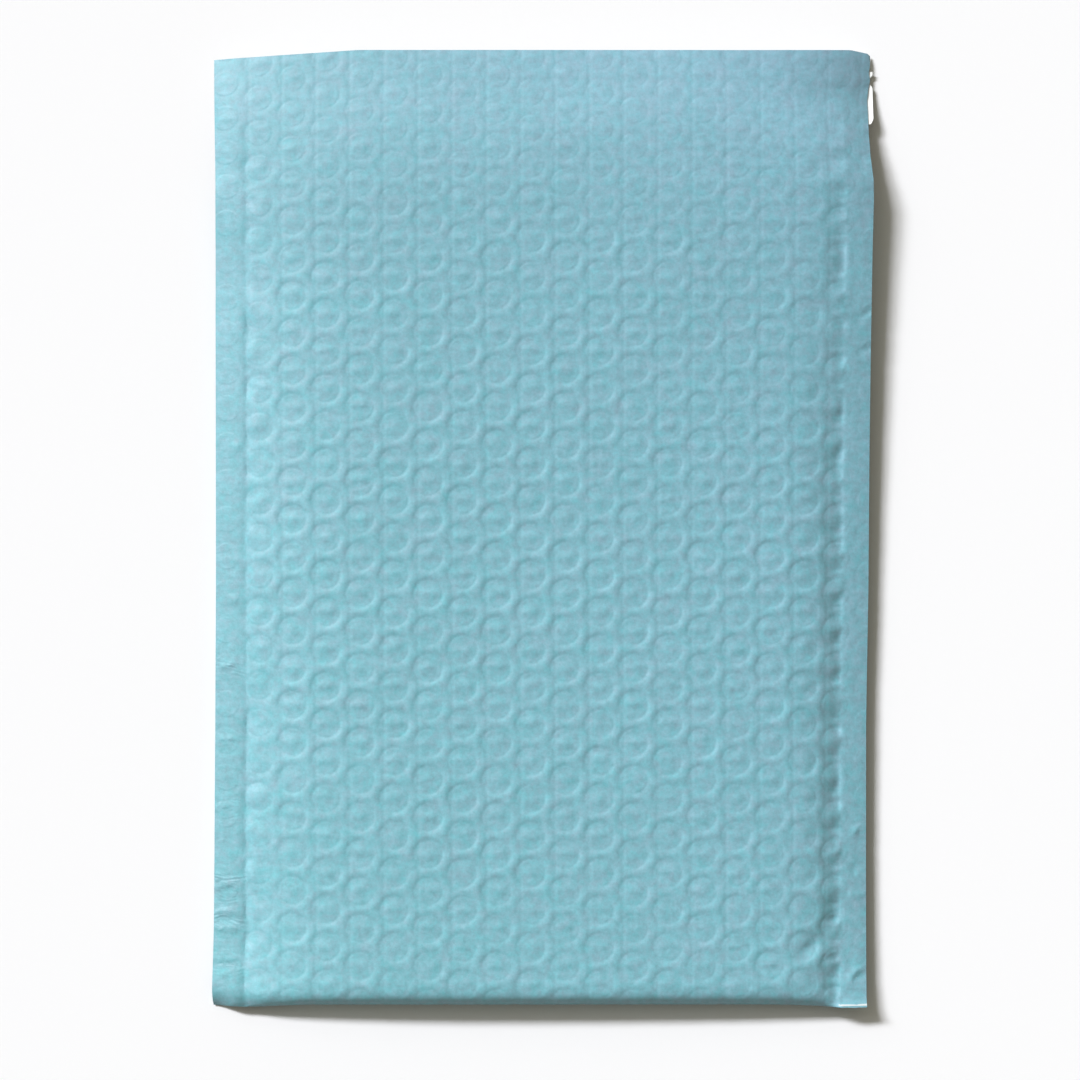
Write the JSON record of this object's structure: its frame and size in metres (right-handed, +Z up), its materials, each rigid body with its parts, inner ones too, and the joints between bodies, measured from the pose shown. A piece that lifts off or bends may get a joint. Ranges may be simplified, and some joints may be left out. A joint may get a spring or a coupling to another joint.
{
  "type": "bubble-lined poly mailer",
  "caption": "Flat teal poly mailer with a bubble-marked film, heat-sealed sides, a folded bottom, an open flap and a peel-off liner under the flap.",
  "frame": {"origin": "on the surface that the mailer lies on, under the middle of its outline", "axes": "+Z up out of the back panel, +Y from the bottom fold towards the flap, +X towards the right seal seen from above"},
  "size_m": [0.2174, 0.315, 0.0125],
  "materials": {
    "teal_film": "satin polyethylene film, embossed by the bubble lining",
    "white_liner": "smooth silicone-coated release strip"
  },
  "bodies": {
    "root": {"mailer_bag": "teal_film", "release_liner": "white_liner"}
  },
  "joints": []
}
